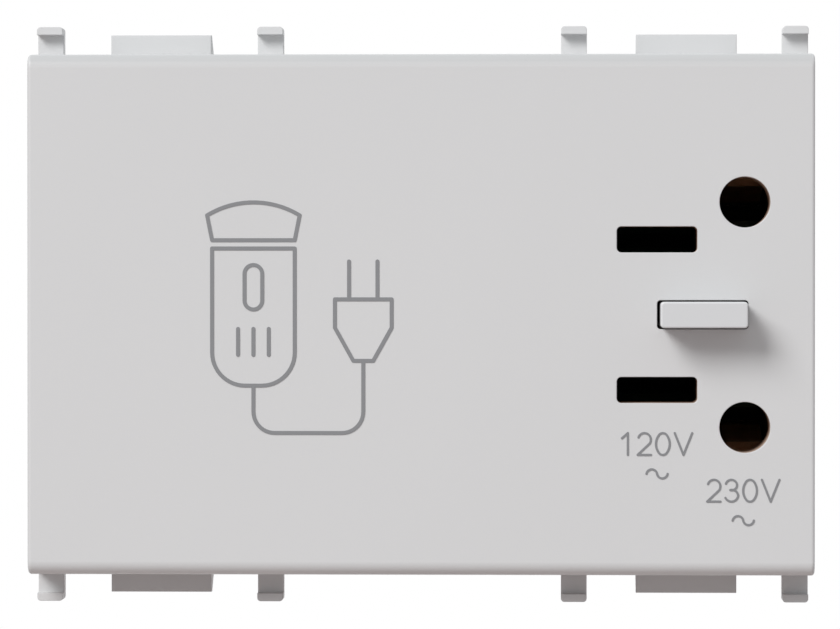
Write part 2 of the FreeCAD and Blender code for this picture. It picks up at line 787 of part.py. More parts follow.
def terminal_block():
    """Insulating block with a chamber for each clamp."""
    body = new_body("terminal_block")
    add_box(body, "terminal_block_blank", (TERMINAL_LEFT, BLOCK_RIGHT), (TERMINAL_FRONT, ROOM_REAR),
            about(0, size.terminal_block_height / 2))
    for level, sign in enumerate((-1, 1)):
        z = sign * TERMINAL_Z
        cut_box(body, f"chamber_{level}",
                about(TERMINAL_X, size.cage_length / 2 + size.guide_gap),
                (CAGE_FLOOR - size.cage_front_wall - size.guide_gap, ROOM_REAR),
                about(z, size.bar_width / 2 + size.running_gap + size.cage_wall + size.guide_gap))
        cut_box(body, f"bar_way_{level}",
                (TERMINAL_LEFT, BLOCK_RIGHT - size.bar_end_wall), (BAR_FRONT, BAR_REAR),
                about(z, size.bar_width / 2))
        cut_rod(body, f"wire_way_{level}", "X",
                (TERMINAL_X, BLOCK_RIGHT), WIRE_Y, z, size.wire_hole_radius)
    return body


def terminal_bar(label, side):
    """Straight brass bar that the conductor is clamped against."""
    body = new_body(label)
    add_box(body, f"{label}_strip",
            (TERMINAL_LEFT - size.bar_tail, BLOCK_RIGHT - size.bar_end_wall),
            (BAR_FRONT, BAR_REAR), about(side * TERMINAL_Z, size.bar_width / 2))
    return body


def terminal_cage(label, side):
    """Frame round the bar, pulled to the rear by the screw."""
    body = new_body(label)
    z = side * TERMINAL_Z
    half_inside = size.bar_width / 2 + size.running_gap
    along = about(TERMINAL_X, size.cage_length / 2)
    add_box(body, f"{label}_block", along,
            (CAGE_FLOOR - size.cage_front_wall, CAGE_ROOF + size.cage_rear_wall),
            about(z, half_inside + size.cage_wall))
    cut_box(body, f"{label}_opening", along, (CAGE_FLOOR, CAGE_ROOF), about(z, half_inside))
    cut_rod(body, f"{label}_thread", "Y", TERMINAL_X,
            (CAGE_ROOF, CAGE_ROOF + size.cage_rear_wall), z, size.clamp_screw_radius + size.clamp_screw_gap)
    return body


def terminal_screw(label, side):
    """Slotted clamp screw, trapped between the bar and the rear wall."""
    body = new_body(label)
    z = side * TERMINAL_Z
    add_rod(body, f"{label}_shank", "Y", TERMINAL_X,
            (BAR_REAR + size.clamp_screw_gap, CLAMP_HEAD_FRONT), z, size.clamp_screw_radius)
    add_rod(body, f"{label}_head", "Y", TERMINAL_X,
            (CLAMP_HEAD_FRONT, CLAMP_HEAD_REAR), z, size.clamp_head_radius)
    cut_box(body, f"{label}_slot",
            about(TERMINAL_X, size.clamp_head_radius + size.running_gap),
            (CLAMP_HEAD_REAR - size.driver_slot_depth, CLAMP_HEAD_REAR), about(z, size.driver_slot / 2))
    return body


def core_leg_points():
    """Outline of the E seen from above: three legs forward from a yoke at the rear."""
    x = CORE_X
    return [
        (x - 3 * LEG, CORE_REAR),
        (x - 3 * LEG, JOINT_Y),
        (x - 2 * LEG, JOINT_Y),
        (x - 2 * LEG, YOKE_Y),
        (x - LEG, YOKE_Y),
        (x - LEG, JOINT_Y),
        (x + LEG, JOINT_Y),
        (x + LEG, YOKE_Y),
        (x + 2 * LEG, YOKE_Y),
        (x + 2 * LEG, JOINT_Y),
        (x + 3 * LEG, JOINT_Y),
        (x + 3 * LEG, CORE_REAR),
    ]


def transformer_core_e():
    body = new_body("transformer_core_e")
    add_prism(body, "e_stack", "Z", [core_leg_points()], -CORE_Z, CORE_Z)
    return body


def transformer_core_i():
    body = new_body("transformer_core_i")
    add_box(body, "i_stack", about(CORE_X, 3 * LEG), (CORE_FRONT, JOINT_Y), about(0, CORE_Z))
    return body


def bobbin():
    """Square tube round the middle leg with three flanges, one between the windings."""
    body = new_body("bobbin")
    add_box(body, "bobbin_tube", about(CORE_X, TUBE_X), (BOBBIN_FRONT, BOBBIN_REAR), about(0, TUBE_Z))
    starts = (
        BOBBIN_FRONT,
        BOBBIN_MIDDLE - size.flange_wall / 2,
        BOBBIN_REAR - size.flange_wall,
    )
    for number, start in enumerate(starts):
        add_box(body, f"flange_{number}", about(CORE_X, COIL_X + size.flange_proud),
                (start, start + size.flange_wall), about(0, COIL_Z + size.flange_proud))
    cut_box(body, "bobbin_way", about(CORE_X, TUBE_IN_X), (BOBBIN_FRONT, BOBBIN_REAR), about(0, TUBE_IN_Z))
    return body


PRIMARY = (BOBBIN_FRONT + size.flange_wall, BOBBIN_MIDDLE - size.flange_wall / 2)
SECONDARY = (BOBBIN_MIDDLE + size.flange_wall / 2, BOBBIN_REAR - size.flange_wall)


COIL_CORNER = COIL_BUILD / 2
TAPE_CORNER = COIL_CORNER + size.tape_strip


def coil_block(label, span, half_x, half_z, corner=None):
    """Block round the middle leg's axis, with its four long edges rounded where a radius is given."""
    body = new_body(label)
    add_box(body, f"{label}_block", about(CORE_X, half_x), span, about(0, half_z))
    if corner is not None:
        round_edges(body, f"{label}_corners", corner, lambda edge: runs_along(edge, "Y"))
    return body


def winding(label, span):
    """Wire wound on the bobbin's tube, as one solid band."""
    outside = coil_block(f"{label}_outside", span, COIL_X, COIL_Z, COIL_CORNER)
    inside = coil_block(f"{label}_inside", span, TUBE_X, TUBE_Z)
    return cut(label, outside, [inside])


def tape(label, span):
    """Insulating tape wrapped round a winding."""
    outside = coil_block(f"{label}_outside", span, TAPE_X, TAPE_Z, TAPE_CORNER)
    inside = coil_block(f"{label}_inside", span, COIL_X, COIL_Z, COIL_CORNER)
    return cut(label, outside, [inside])


def thermal_cutout():
    """Flat sealed switch lying on the primary."""
    body = new_body("thermal_cutout")
    middle = (PRIMARY[0] + PRIMARY[1]) / 2
    add_box(body, "cutout_case", about(CORE_X, size.cutout_width / 2),
            about(middle, size.cutout_length / 2), (TAPE_Z, TAPE_Z + size.cutout_height))
    round_edges(body, "cutout_edges", size.cutout_height / 4,
                lambda edge: on_plane(edge, "Z", TAPE_Z + size.cutout_height))
    return body


LEAD_Z = BLOCK_Z + size.lead_radius + size.lead_block_gap


def insulating_barrier():
    """Sheet between the transformer and the contacts, with windows for the leads."""
    body = new_body("insulating_barrier")
    across = (BARRIER_LEFT, BARRIER_LEFT + size.barrier_strip)
    add_box(body, "barrier_sheet", across, (PLATE_BACK, ROOM_REAR), about(0, ROOM_Z))
    for number, span in enumerate((PRIMARY, SECONDARY)):
        middle = (span[0] + span[1]) / 2
        for level, sign in enumerate((-1, 1)):
            cut_box(body, f"lead_window_{number}_{level}", across,
                    about(middle, size.barrier_window), about(sign * LEAD_Z, size.barrier_window / 2))
    return body


def straight(start, end):
    return Part.LineSegment(start, end).toShape()


def lead(label, spots):
    """Round insulated lead along straight runs that are joined by arcs."""
    points = [Vector(*(float(value) for value in spot)) for spot in spots]
    edges = []
    here = points[0]
    for before, corner, after in zip(points, points[1:], points[2:]):
        back = before - corner
        ahead = after - corner
        turn = math.pi - back.getAngle(ahead)
        # An arc uses up 0.45 of the shorter run on each side of its corner
        trim = 0.45 * min(back.Length, ahead.Length)
        start = corner + back.normalize() * trim
        end = corner + ahead.normalize() * trim
        radius = trim / math.tan(turn / 2)
        to_middle = (back + ahead).normalize() * (radius / math.cos(turn / 2) - radius)
        edges.append(straight(here, start))
        edges.append(Part.Arc(start, corner + to_middle, end).toShape())
        here = end
    edges.append(straight(here, points[-1]))
    path = Part.Wire(edges)
    first = points[1] - points[0]
    section = Part.Wire(Part.Circle(points[0], first, float(size.lead_radius)).toShape())
    tube = doc.addObject("Part::Feature", label)
    tube.Shape = path.makePipeShell([section], True, False)
    return tube


def leads():
    """Three leads of the secondary, two of the primary and one from terminal to switch."""
    start_x = CORE_X + TAPE_X
    primary_y = (PRIMARY[0] + PRIMARY[1]) / 2
    secondary_y = (SECONDARY[0] + SECONDARY[1]) / 2
    tap_y = secondary_y + 2.0
    between_y = (BLOCK_REAR + TERMINAL_FRONT) / 2
    radius = size.lead_radius
    side_x = BARRIER_LEFT + size.barrier_strip + size.lead_side_gap
    leaf_x = PLUNGER_X - SWITCH_X
    other_leaf_x = PLUNGER_X + SWITCH_X
    leaf_y = BLOCK_REAR + 1.3
    round_tail = ROUND_Z + size.round_clip_strip / 2
    flat_tail = FLAT_Z + size.flat_clip_strip / 2
    bar_y = BAR_FRONT - radius
    over_z = BLOCK_Z - 0.6
    return [
        lead("secondary_common_lead", [
            (start_x, secondary_y, LEAD_Z),
            (BLOCK_LEFT + 3.8, secondary_y, LEAD_Z),
            (ROUND_X - 3.2, TERMINAL_FRONT - 0.6, over_z),
            (ROUND_X, between_y, over_z),
            (ROUND_X, between_y, round_tail),
        ]),
        lead("secondary_full_lead", [
            (start_x, secondary_y, -LEAD_Z),
            (BLOCK_LEFT + 3.8, secondary_y, -LEAD_Z),
            (ROUND_X - 3.2, TERMINAL_FRONT - 0.6, -over_z),
            (ROUND_X, between_y, -over_z),
            (ROUND_X, between_y, -round_tail),
        ]),
        lead("secondary_tap_lead", [
            (start_x, tap_y, -LEAD_Z),
            (side_x + 0.4, tap_y, -LEAD_Z),
            (FLAT_X - 1.8, between_y + 0.3, -over_z + 2.0),
            (FLAT_X, between_y, -over_z + 3.0),
            (FLAT_X, between_y, -flat_tail),
        ]),
        lead("primary_switch_lead", [
            (start_x, primary_y, LEAD_Z),
            (PLUNGER_X - 1.3, primary_y, LEAD_Z),
            (PLUNGER_X - 1.3, between_y, LEAD_Z),
            (PLUNGER_X - 1.3, between_y, 2.8),
            (PLUNGER_X + 2.1, leaf_y, 0.0),
            (other_leaf_x - size.leaf_strip, leaf_y, 0.0),
        ]),
        lead("primary_neutral_lead", [
            (start_x, primary_y, -LEAD_Z),
            (side_x, primary_y, -LEAD_Z),
            (side_x, between_y, 0.7 - LEAD_Z),
            (side_x, bar_y, -TERMINAL_Z - 4.6),
            (side_x, bar_y, 1.6 - TERMINAL_Z),
        ]),
        lead("terminal_switch_lead", [
            (side_x, bar_y, TERMINAL_Z + 1.4),
            (side_x, bar_y, 1.0),
            (side_x, leaf_y, 0.0),
            (leaf_x, leaf_y, 0.0),
        ]),
    ]


# Strokes of each sign of the labels, on a square whose side is the label's height.
# A pair is the end of a straight stretch, and two pairs are the middle and end of an arc.
SIGNS = {
    "0": (0.63, [[
        (0, 0.5), ((0.033, 0.71), (0.13, 0.9)), ((0.315, 1), (0.5, 0.9)), ((0.597, 0.71), (0.63, 0.5)),
        ((0.597, 0.29), (0.5, 0.1)), ((0.315, 0), (0.13, 0.1)), ((0.033, 0.29), (0, 0.5)),
    ]]),
    "1": (0.49, [[(0, 0.76), (0.27, 1), (0.27, 0)]]),
    "2": (0.61, [[(0.04, 0.8), ((0.325, 1), (0.6, 0.7)), ((0.59, 0.6), (0.54, 0.51)), (0, 0), (0.61, 0)]]),
    "3": (0.58, [
        [(0.02, 0.82), ((0.28, 1), (0.53, 0.75)), ((0.45, 0.58), (0.22, 0.53))],
        [(0.22, 0.53), ((0.48, 0.47), (0.58, 0.27)), ((0.29, 0), (0, 0.17))],
    ]),
    "V": (0.8, [[(0, 1), (0.4, 0), (0.8, 1)]]),
}


def on_face(x, z):
    return Vector(float(x), float(FACE), float(z))


def stroke(moves, width, place=(0, 0), scale=1.0):
    """Flat shape of a line of ink of one width with round ends."""
    def spot(pair):
        return on_face(float(place[0]) + scale * float(pair[0]), float(place[1]) + scale * float(pair[1]))

    here = spot(moves[0])
    first = here
    edges = []
    for move in moves[1:]:
        if isinstance(move[0], tuple):
            end = spot(move[1])
            edges.append(Part.Arc(here, spot(move[0]), end).toShape())
        else:
            end = spot(move)
            edges.append(straight(here, end))
        here = end
    half = width / 2
    if len(edges) == 1 and len(moves[1]) == 2 and not isinstance(moves[1][0], tuple):
        return straight_stroke(first, here, half)
    path = Part.Wire(edges)
    if here.isEqual(first, CLOSE):
        outside = Part.Face(path.makeOffset2D(half, 0, False, False))
        inside = Part.Face(path.makeOffset2D(-half, 0, False, False))
        return outside.cut(inside)
    return Part.Face(path.makeOffset2D(half, 0, False, False))


def straight_stroke(start, end, half):
    """Flat bar with round ends."""
    along = (end - start).normalize() * half
    across = along.cross(Vector(0, 1, 0))
    return Part.Face(Part.Wire([
        straight(start + across, end + across),
        Part.Arc(end + across, end + along, end - across).toShape(),
        straight(end - across, start - across),
        Part.Arc(start - across, start - along, start + across).toShape(),
    ]))


def label_strokes(text, place, drop):
    """One voltage label, centred on its place, with the sign for alternating current below."""
    scale = float(size.label_height)
    width = float(size.label_line_width)
    gap = float(size.label_spacing) / scale
    length = sum(SIGNS[sign][0] for sign in text) + gap * (len(text) - 1)
    pen = float(place) - scale * length / 2
    flat = []
    for sign in text:
        advance, strokes = SIGNS[sign]
        flat += [stroke(moves, width, (pen, -float(drop)), scale) for moves in strokes]
        pen += scale * (advance + gap)
    half = float(size.wave_width) / 2
    rise = float(size.wave_height) / 2
    wave = [(-half, 0), ((-half / 2, rise), (0, 0)), ((half / 2, -rise), (half, 0))]
    flat.append(stroke(wave, width, (float(place), -float(drop + size.wave_drop))))
    return flat


def shaver_strokes():
    """Upright shaver: body with a slide switch and three grip lines, and an arched foil head."""
    x = float(size.shaver_place)
    low = -float(size.shaver_drop)
    half = float(size.shaver_width) / 2
    high = low + float(size.shaver_length)
    width = float(size.line_width)
    foot = half * 0.8
    body = [
        (x - half, high), (x + half, high), (x + half, low + foot),
        ((x + half - foot * 0.293, low + foot * 0.293), (x + half - foot, low)),
        (x - half + foot, low),
        ((x - half + foot * 0.293, low + foot * 0.293), (x - half, low + foot)),
        (x - half, high),
    ]
    neck = high + float(size.shaver_head_gap)
    crown = neck + float(size.shaver_head_height)
    brim = half * 1.12
    head = [
        (x - half, neck), (x + half, neck), (x + brim, crown - 1.1),
        ((x, crown), (x - brim, crown - 1.1)), (x - half, neck),
    ]
    switch_low = low + 0.62 * (high - low)
    switch_high = high - 1.4
    switch = [
        (x - 0.75, switch_low), (x - 0.75, switch_high - 0.75),
        ((x, switch_high), (x + 0.75, switch_high - 0.75)),
        (x + 0.75, switch_low), ((x, switch_low - 0.75), (x - 0.75, switch_low)),
    ]
    grips = [[(x + step, low + 2.6), (x + step, low + 4.8)] for step in (-1.3, 0.0, 1.3)]
    return [stroke(moves, width) for moves in [body, head, switch] + grips]


def cord_and_plug_strokes():
    """Cord from the shaver's foot round to a two-pin plug that points up."""
    width = float(size.line_width)
    x = float(size.shaver_place)
    plug_x = float(size.plug_place)
    foot = -float(size.shaver_drop)
    bend = float(size.cord_bend)
    floor = foot - float(size.cord_drop)
    tuck = bend * 0.293
    half = float(size.plug_width) / 2
    plug_high = float(size.plug_length) / 4
    plug_low = plug_high - float(size.plug_length)
    cord = [
        (x, foot), (x, floor + bend), ((x + tuck, floor + tuck), (x + bend, floor)),
        (plug_x - bend, floor), ((plug_x - tuck, floor + tuck), (plug_x, floor + bend)), (plug_x, plug_low),
    ]
    plug = [
        (plug_x - half, plug_high), (plug_x + half, plug_high), (plug_x + half, plug_high - half),
        (plug_x + half * 0.35, plug_low), (plug_x - half * 0.35, plug_low),
        (plug_x - half, plug_high - half), (plug_x - half, plug_high),
    ]
    pin_end = plug_high + float(size.plug_pin_length)
    pins = [
        [(plug_x + side * half / 2, plug_high), (plug_x + side * half / 2, pin_end)]
        for side in (-1, 1)
    ]
    return [stroke(moves, width) for moves in [cord, plug] + pins]


def face_print():
    """Thin ink on the face: a pictogram of a shaver and plug, and the two voltage labels."""
    flat = shaver_strokes() + cord_and_plug_strokes()
    flat += label_strokes("120V", FLAT_X, size.flat_label_drop)
    flat += label_strokes("230V", ROUND_X - size.round_label_shift, size.round_label_drop)
    joined = flat[0].multiFuse(flat[1:]).removeSplitter()
    ink = doc.addObject("Part::Feature", "face_print")
    ink.Shape = joined.extrude(Vector(0, -float(size.ink_depth), 0))
    return ink


def build():
    """Every sub-part, by the name of its file."""
    made = [
        front_cover(),
        rear_housing(),
        housing_screws(),
        contact_block(),
        plunger(),
        plunger_spring(),
        contact_bridge(),
        bridge_clip(),
        switch_contact("switch_contact_left", -1),
        switch_contact("switch_contact_right", 1),
        terminal_block(),
        transformer_core_e(),
        transformer_core_i(),
        bobbin(),
        winding("primary_winding", PRIMARY),
        winding("secondary_winding", SECONDARY),
        tape("primary_tape", PRIMARY),
        tape("secondary_tape", SECONDARY),
        thermal_cutout(),
        insulating_barrier(),
    ]
    for level, sign in (("upper", 1), ("lower", -1)):
        made.append(spring_contact(
            f"round_contact_{level}", ROUND_X, sign * ROUND_Z,
            size.round_clip_width, size.round_clip_strip, size.round_clip_gap,
            size.round_clip_mouth, size.round_clip_flare, size.round_clip_taper, ROUND_REAR))
        made.append(spring_contact(
            f"flat_contact_{level}", FLAT_X, sign * FLAT_Z,
            size.flat_clip_width, size.flat_clip_strip, size.flat_clip_gap,
            size.flat_clip_mouth, size.flat_clip_flare, size.flat_clip_taper, FLAT_REAR))
    for pole, sign in (("live", 1), ("neutral", -1)):
        made.append(terminal_bar(f"terminal_bar_{pole}", sign))
        made.append(terminal_cage(f"terminal_cage_{pole}", sign))
        made.append(terminal_screw(f"terminal_screw_{pole}", sign))
    made.extend(leads())
    made.append(face_print())
    return made


def check_and_write(pieces):
    """Stop on any failed object, then write one STEP file for each sub-part."""
    doc.recompute()
    for item in doc.Objects:
        if "Invalid" in item.State or "Error" in item.State:
            raise SystemExit(f"{item.Label} failed: {item.State}")
    os.makedirs("parts", exist_ok=True)
    for piece in pieces:
        if piece.Shape.isNull() or not piece.Shape.isValid():
            raise SystemExit(f"{piece.Label} has no valid shape")
        piece.Shape.exportStep(f"parts/{piece.Label}.step")


check_and_write(build())
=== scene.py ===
import bmesh
import bpy
import json
import math
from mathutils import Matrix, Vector


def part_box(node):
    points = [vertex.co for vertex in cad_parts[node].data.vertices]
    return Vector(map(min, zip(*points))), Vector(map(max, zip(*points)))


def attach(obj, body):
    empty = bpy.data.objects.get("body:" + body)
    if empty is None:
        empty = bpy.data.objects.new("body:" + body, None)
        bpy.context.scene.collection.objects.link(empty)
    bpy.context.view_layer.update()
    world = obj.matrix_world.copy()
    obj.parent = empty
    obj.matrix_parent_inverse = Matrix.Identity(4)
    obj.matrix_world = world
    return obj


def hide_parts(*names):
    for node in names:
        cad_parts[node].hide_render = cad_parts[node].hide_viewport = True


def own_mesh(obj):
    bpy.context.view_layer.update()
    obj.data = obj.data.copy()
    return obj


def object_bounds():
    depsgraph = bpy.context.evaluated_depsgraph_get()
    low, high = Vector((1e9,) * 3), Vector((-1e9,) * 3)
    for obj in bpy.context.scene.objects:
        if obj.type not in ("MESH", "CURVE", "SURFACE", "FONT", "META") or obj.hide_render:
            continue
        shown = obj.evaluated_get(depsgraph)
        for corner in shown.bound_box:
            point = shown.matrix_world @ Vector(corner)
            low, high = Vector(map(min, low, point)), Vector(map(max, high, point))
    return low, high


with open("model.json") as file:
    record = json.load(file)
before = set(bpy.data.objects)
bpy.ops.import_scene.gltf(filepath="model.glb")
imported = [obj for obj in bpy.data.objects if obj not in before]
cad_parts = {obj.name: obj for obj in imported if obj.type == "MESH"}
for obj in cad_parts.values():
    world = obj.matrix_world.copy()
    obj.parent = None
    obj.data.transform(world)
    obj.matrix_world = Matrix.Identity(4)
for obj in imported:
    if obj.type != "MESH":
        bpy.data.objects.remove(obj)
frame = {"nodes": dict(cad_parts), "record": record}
CAD_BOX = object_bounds()

# Lengths are in metres, and MM turns millimetres into them
MM = 0.001
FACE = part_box("face_print")[1].y

# Rounding of the cover in millimetres: where the long edges start, and how far each kind reaches
ROUND_START = 20.95
LONG_ROUND = 1.1
SIDE_ROUND = 0.3

# Painted shade on the edges towards the lamp and painted light on those away from it, as factors of
# the cover's grey
TOP_PAINTED_SHADE = 0.79
LEFT_PAINTED_SHADE = 0.87
BOTTOM_PAINTED_LIGHT = 1.14
RIGHT_PAINTED_LIGHT = 1.14

# Thickness of one sheet of the transformer's core
SHEET_MM = 0.5

# Return spring of round wire
WIRE = 0.35 * MM
TURNS = 6
STEPS_A_TURN = 28

# Camera: a long lens, a little to the right of the face's middle and above it
IMAGE_WIDTH = 840
PIXELS_PER_METRE = 11840
CAMERA_DISTANCE = 380 * MM
CAMERA_SIDE = 12 * MM
CAMERA_RISE = 3.5 * MM
AIM = Vector((0, FACE, 0.015 * MM))
SENSOR_WIDTH = 36

# Light: a soft lamp up to the left of the face, and a surround that is brighter above than below
LAMP_DIRECTION = Vector((-0.83, -1.0, 0.95))
LAMP_DISTANCE = 2.5
LAMP_SIZE = 1.15
LAMP_POWER = 57.0
LIGHT_ABOVE = 0.58
LIGHT_BELOW = 0.15
COLOUR_ABOVE = (0.93, 1.0, 1.03)
COLOUR_BELOW = (1.12, 0.97, 0.94)
FLOOR_BOUNCE = (0.4, 0.33, 0.315)
FLOOR_DROP = 70 * MM
FLOOR_RADIUS = 0.55
FLOOR_SIDES = 96


def blend(tree, share, first, second):
    """A colour between two others, each a colour or a node's output."""
    made = tree.nodes.new("ShaderNodeMix")
    made.data_type = "RGBA"
    tree.links.new(share, made.inputs["Factor"])
    for name, value in (("A", first), ("B", second)):
        socket = next(item for item in made.inputs if item.name == name and item.type == "RGBA")
        if isinstance(value, tuple):
            socket.default_value = (*value, 1)
        else:
            tree.links.new(value, socket)
    return next(item for item in made.outputs if item.type == "RGBA")


class Finish:
    """A material with a Principled shader, whose texture nodes measure in millimetres.

    Its value painted is the node output that colours it so far.
    """

    def __init__(self, name, **values):
        self.material = bpy.data.materials.new(name)
        self.material.use_nodes = True
        self.tree = self.material.node_tree
        self.shader = self.tree.nodes["Principled BSDF"]
        for socket, value in values.items():
            self.shader.inputs[socket.replace("_", " ")].default_value = value
        place = self.node("ShaderNodeTexCoord").outputs["Object"]
        scaled = self.node("ShaderNodeMapping")
        scaled.inputs["Scale"].default_value = (1 / MM, 1 / MM, 1 / MM)
        self.join(place, scaled.inputs["Vector"])
        self.place = scaled.outputs["Vector"]
        self.painted = None

    def node(self, kind, **settings):
        made = self.tree.nodes.new(kind)
        for name, value in settings.items():
            setattr(made, name, value)
        return made

    def join(self, source, target):
        self.tree.links.new(source, target)

    def stretched(self, x, y, z):
        """The place in millimetres, scaled along each axis."""
        scaled = self.node("ShaderNodeMapping")
        scaled.inputs["Scale"].default_value = (x, y, z)
        self.join(self.place, scaled.inputs["Vector"])
        return scaled.outputs["Vector"]

    def noise(self, per_mm, detail=2.0, roughness=0.5, place=None):
        made = self.node("ShaderNodeTexNoise")
        made.inputs["Scale"].default_value = per_mm
        made.inputs["Detail"].default_value = detail
        made.inputs["Roughness"].default_value = roughness
        self.join(place or self.place, made.inputs["Vector"])
        return made.outputs["Fac"]

    def ramp(self, source, low, high, from_low=0.0, from_high=1.0):
        """A number brought from one range to another."""
        made = self.node("ShaderNodeMapRange")
        limits = {"From Min": from_low, "From Max": from_high, "To Min": low, "To Max": high}
        for socket, value in limits.items():
            made.inputs[socket].default_value = value
        self.join(source, made.inputs["Value"])
        return made.outputs["Result"]

    def math(self, operation, first, second=None):
        made = self.node("ShaderNodeMath", operation=operation)
        for number, value in enumerate((first, second)):
            if value is None:
                continue
            if isinstance(value, (int, float)):
                made.inputs[number].default_value = value
            else:
                self.join(value, made.inputs[number])
        return made.outputs["Value"]

    def mix(self, share, first, second):
        return blend(self.tree, share, first, second)

    def axis(self, name):
        parts = self.node("ShaderNodeSeparateXYZ")
        self.join(self.place, parts.inputs["Vector"])
        return parts.outputs[name]

    def colour(self, source):
        self.painted = source
        self.join(source, self.shader.inputs["Base Color"])

    def roughness(self, source):
        self.join(source, self.shader.inputs["Roughness"])

    def bump(self, height, depth_mm, soften_mm=None):
        """Relief of a depth in millimetres, on edges that may be softened by a radius."""
        made = self.node("ShaderNodeBump")
        made.inputs["Strength"].default_value = 1.0
        made.inputs["Distance"].default_value = depth_mm * MM
        self.join(height, made.inputs["Height"])
        if soften_mm:
            soft = self.node("ShaderNodeBevel", samples=8)
            soft.inputs["Radius"].default_value = soften_mm * MM
            self.join(soft.outputs["Normal"], made.inputs["Normal"])
        self.join(made.outputs["Normal"], self.shader.inputs["Normal"])


def tinted(colour, factor):
    """A colour made darker or paler."""
    return tuple(min(1.0, part * factor) for part in colour)


def moulded(name, colour, roughness, variation=0.02, grain_mm=0.004, soften_mm=0.12):
    """Moulded plastic: spark-eroded grain, faint flow marks and slightly soft edges."""
    made = Finish(name, Roughness=roughness, IOR=1.48)
    flow = made.noise(0.05, detail=3.0, place=made.stretched(1.0, 1.0, 0.4))
    made.colour(made.mix(flow, tinted(colour, 1 - variation), tinted(colour, 1 + variation)))
    grain = made.noise(5.0, detail=3.0, roughness=0.6)
    made.roughness(made.ramp(grain, roughness - 0.05, roughness + 0.05, 0.3, 0.7))
    made.bump(grain, grain_mm, soften_mm)
    return made


def paint_edge_shade_and_light(made, grey):
    """Paint shade on the cover's rounded edges towards the lamp and light on those away from it, so
    that they look as even as the photograph shows them.
    """
    face = FACE / MM
    side = CAD_BOX[1].x / MM
    near_face = made.ramp(made.axis("Y"), 1.0, 0.0, face + 0.5, face + LONG_ROUND)
    # Painted shade darkens the top and left edges, and painted light brightens the bottom and right
    # ones
    for axis, start, end, tone in (
            ("Z", ROUND_START, ROUND_START + 0.5, TOP_PAINTED_SHADE),
            ("Z", -ROUND_START - 0.2, -ROUND_START - 1.0, BOTTOM_PAINTED_LIGHT),
            ("X", SIDE_ROUND - side, 0.1 - side, LEFT_PAINTED_SHADE),
            ("X", side - SIDE_ROUND, side - 0.1, RIGHT_PAINTED_LIGHT)):
        edge = made.ramp(made.axis(axis), 0.0, 1.0, start, end)
        if axis == "Z":
            edge = made.math("MULTIPLY", edge, near_face)
        made.colour(made.mix(edge, made.painted, tinted(grey, tone)))


def paint_shade_in_openings(made):
    """Paint the cover tan in its openings and on the pad behind them, more deeply further in: a
    painted warm reflection of the contacts that darkens into painted shade.
    """
    face = FACE / MM
    low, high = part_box("contact_block")
    middle = (low.x + high.x) / 2 / MM
    half_x = (high.x - low.x) / 2 / MM
    half_z = (high.z - low.z) / 2 / MM
    from_middle = made.math("ABSOLUTE", made.math("SUBTRACT", made.axis("X"), middle))
    near_x = made.ramp(from_middle, 1.0, 0.0, half_x, half_x + 0.1)
    near_z = made.ramp(made.math("ABSOLUTE", made.axis("Z")), 1.0, 0.0, half_z, half_z + 0.1)
    inside = made.math("MULTIPLY", near_x, near_z)
    wall = made.ramp(made.axis("Y"), 0.0, 1.0, face + 0.1, face + 0.8)
    deep = made.ramp(made.axis("Y"), 0.0, 1.0, face + 1.0, face + 5.0)
    # Painted shade: a tan painted reflection near the face, turning to dark brown painted shade
    # further in
    tan = made.mix(deep, (0.55, 0.42, 0.33), (0.28, 0.15, 0.1))
    made.colour(made.mix(made.math("MULTIPLY", inside, wall), made.painted, tan))


def cover_plastic():
    """Light grey plastic of the cover, with painted shade and light on its edges and painted tan
    shade in its openings.
    """
    grey = (0.645, 0.645, 0.648)
    made = moulded("cover_plastic", grey, 0.42)
    paint_edge_shade_and_light(made, grey)
    paint_shade_in_openings(made)
    return made


def housing_plastic():
    """Grey plastic of the rear housing, duller than the cover."""
    made = moulded("housing_plastic", (0.56, 0.56, 0.555), 0.65, variation=0.03, grain_mm=0.008)
    made.shader.inputs["Specular IOR Level"].default_value = 0.2
    return made


def plunger_plastic():
    """Light grey plastic of the plunger, with painted shade in a duller grey on its sides, which dims
    the light they throw onto the face.
    """
    made = moulded("plunger_plastic", (0.645, 0.65, 0.66), 0.38)
    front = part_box("plunger")[0].y / MM
    side = made.ramp(made.axis("Y"), 0.0, 1.0, front + 0.2, front + 0.6)
    # Painted shade: the plunger's sides are made a duller grey
    made.colour(made.mix(side, made.painted, (0.45, 0.45, 0.46)))
    return made


def black_plastic():
    """Dull black plastic of the contact and terminal blocks."""
    made = moulded("black_plastic", (0.012, 0.011, 0.01), 0.6, variation=0.1)
    made.shader.inputs["Specular IOR Level"].default_value = 0.25
    return made


def print_ink():
    """Grey pad-printed ink, a little uneven in its cover."""
    made = Finish("print_ink", Roughness=0.5, IOR=1.45)
    cover = made.noise(6.0, detail=4.0, roughness=0.7)
    made.colour(made.mix(cover, (0.225, 0.228, 0.238), (0.245, 0.247, 0.255)))
    made.bump(cover, 0.002)
    return made


def metal(name, colour, roughness, marks_per_mm, marks_mm=0.003):
    """Rolled or turned metal with shallow marks, so many to the millimetre along each axis."""
    made = Finish(name, Metallic=1.0, Roughness=roughness)
    marks = made.noise(1.0, detail=6.0, roughness=0.7, place=made.stretched(*marks_per_mm))
    dull = made.noise(0.6, detail=3.0)
    made.colour(made.mix(dull, tinted(colour, 0.82), tinted(colour, 1.08)))
    made.roughness(made.ramp(marks, roughness - 0.08, roughness + 0.12, 0.3, 0.7))
    made.bump(marks, marks_mm, 0.05)
    return made


